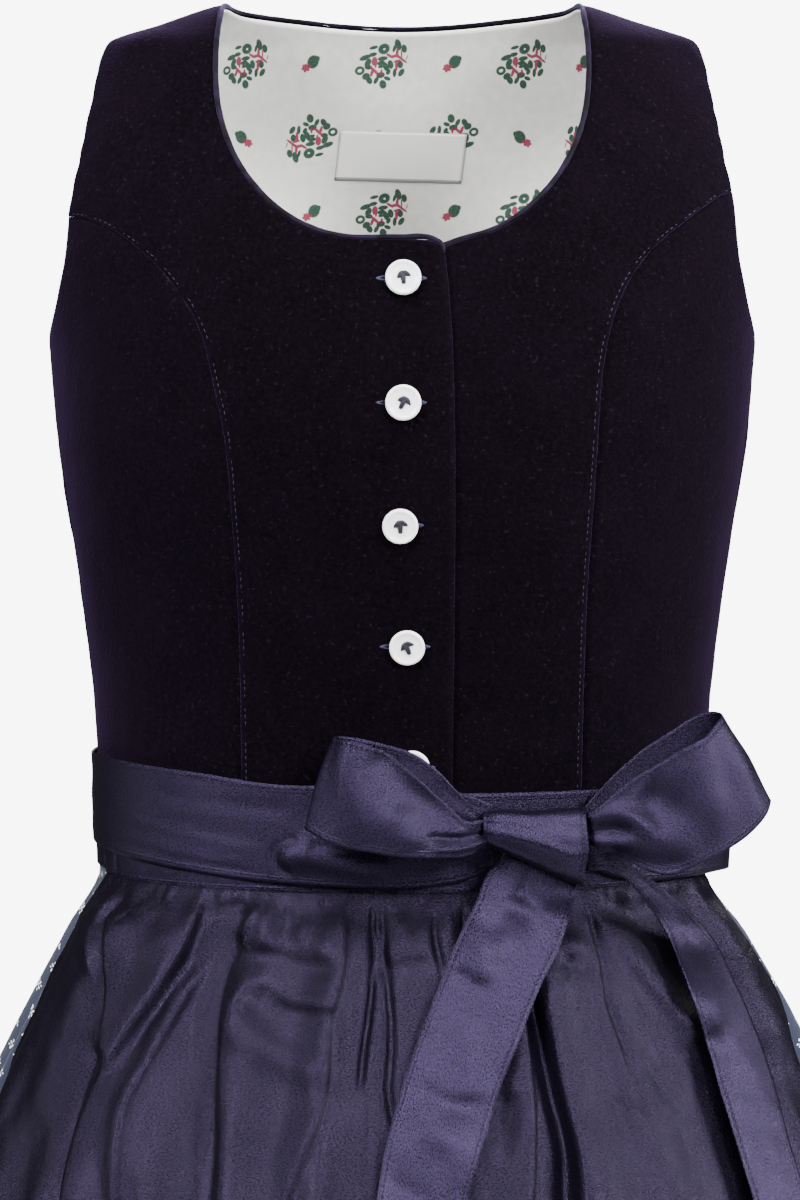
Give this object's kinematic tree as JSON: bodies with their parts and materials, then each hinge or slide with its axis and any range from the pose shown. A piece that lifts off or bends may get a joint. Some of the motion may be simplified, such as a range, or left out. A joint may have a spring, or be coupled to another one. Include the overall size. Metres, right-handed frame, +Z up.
{
  "type": "girl's dirndl with apron",
  "caption": "Girl's dirndl, filled out as if worn: velvet bodice with princess seams and button front, gathered flared skirt, satin apron tied in a bow.",
  "frame": {"origin": "between the shoulders, level with the shoulder tips, where the wearer's shoulders hold the garment up", "axes": "+Z up, -Y the wearer's front, +X the wearer's left"},
  "size_m": [0.5535, 0.4917, 0.7653],
  "materials": {
    "velvet": "cotton velvet, short upright pile",
    "trim": "narrow rolled satin edge",
    "lining": "off-white cotton with small leaf clusters",
    "label": "woven ribbon, blank",
    "button": "polished",
    "satin": "polyester satin, soft gloss",
    "print": "cotton print, small white sprigs"
  },
  "bodies": {
    "root": {"bodice_front_right": "velvet", "bodice_front_left": "velvet", "bodice_side_front_right": "velvet", "bodice_side_front_left": "velvet", "bodice_back": "velvet", "bodice_side_back_right": "velvet", "bodice_side_back_left": "velvet", "back_lining": "lining", "neck_label": "label", "neck_piping": "trim", "button_1": "button", "button_2": "button", "button_3": "button", "button_4": "button", "button_5": "button", "skirt_front_right": "print", "skirt_front_left": "print", "skirt_back_left": "print", "skirt_back_right": "print", "apron_panel": "satin", "apron_waistband": "satin", "tie_right": "satin", "tie_left": "satin", "bow_loop_right": "satin", "bow_loop_left": "satin", "bow_knot": "satin", "bow_tail_right": "satin", "bow_tail_left": "satin"}
  },
  "joints": []
}
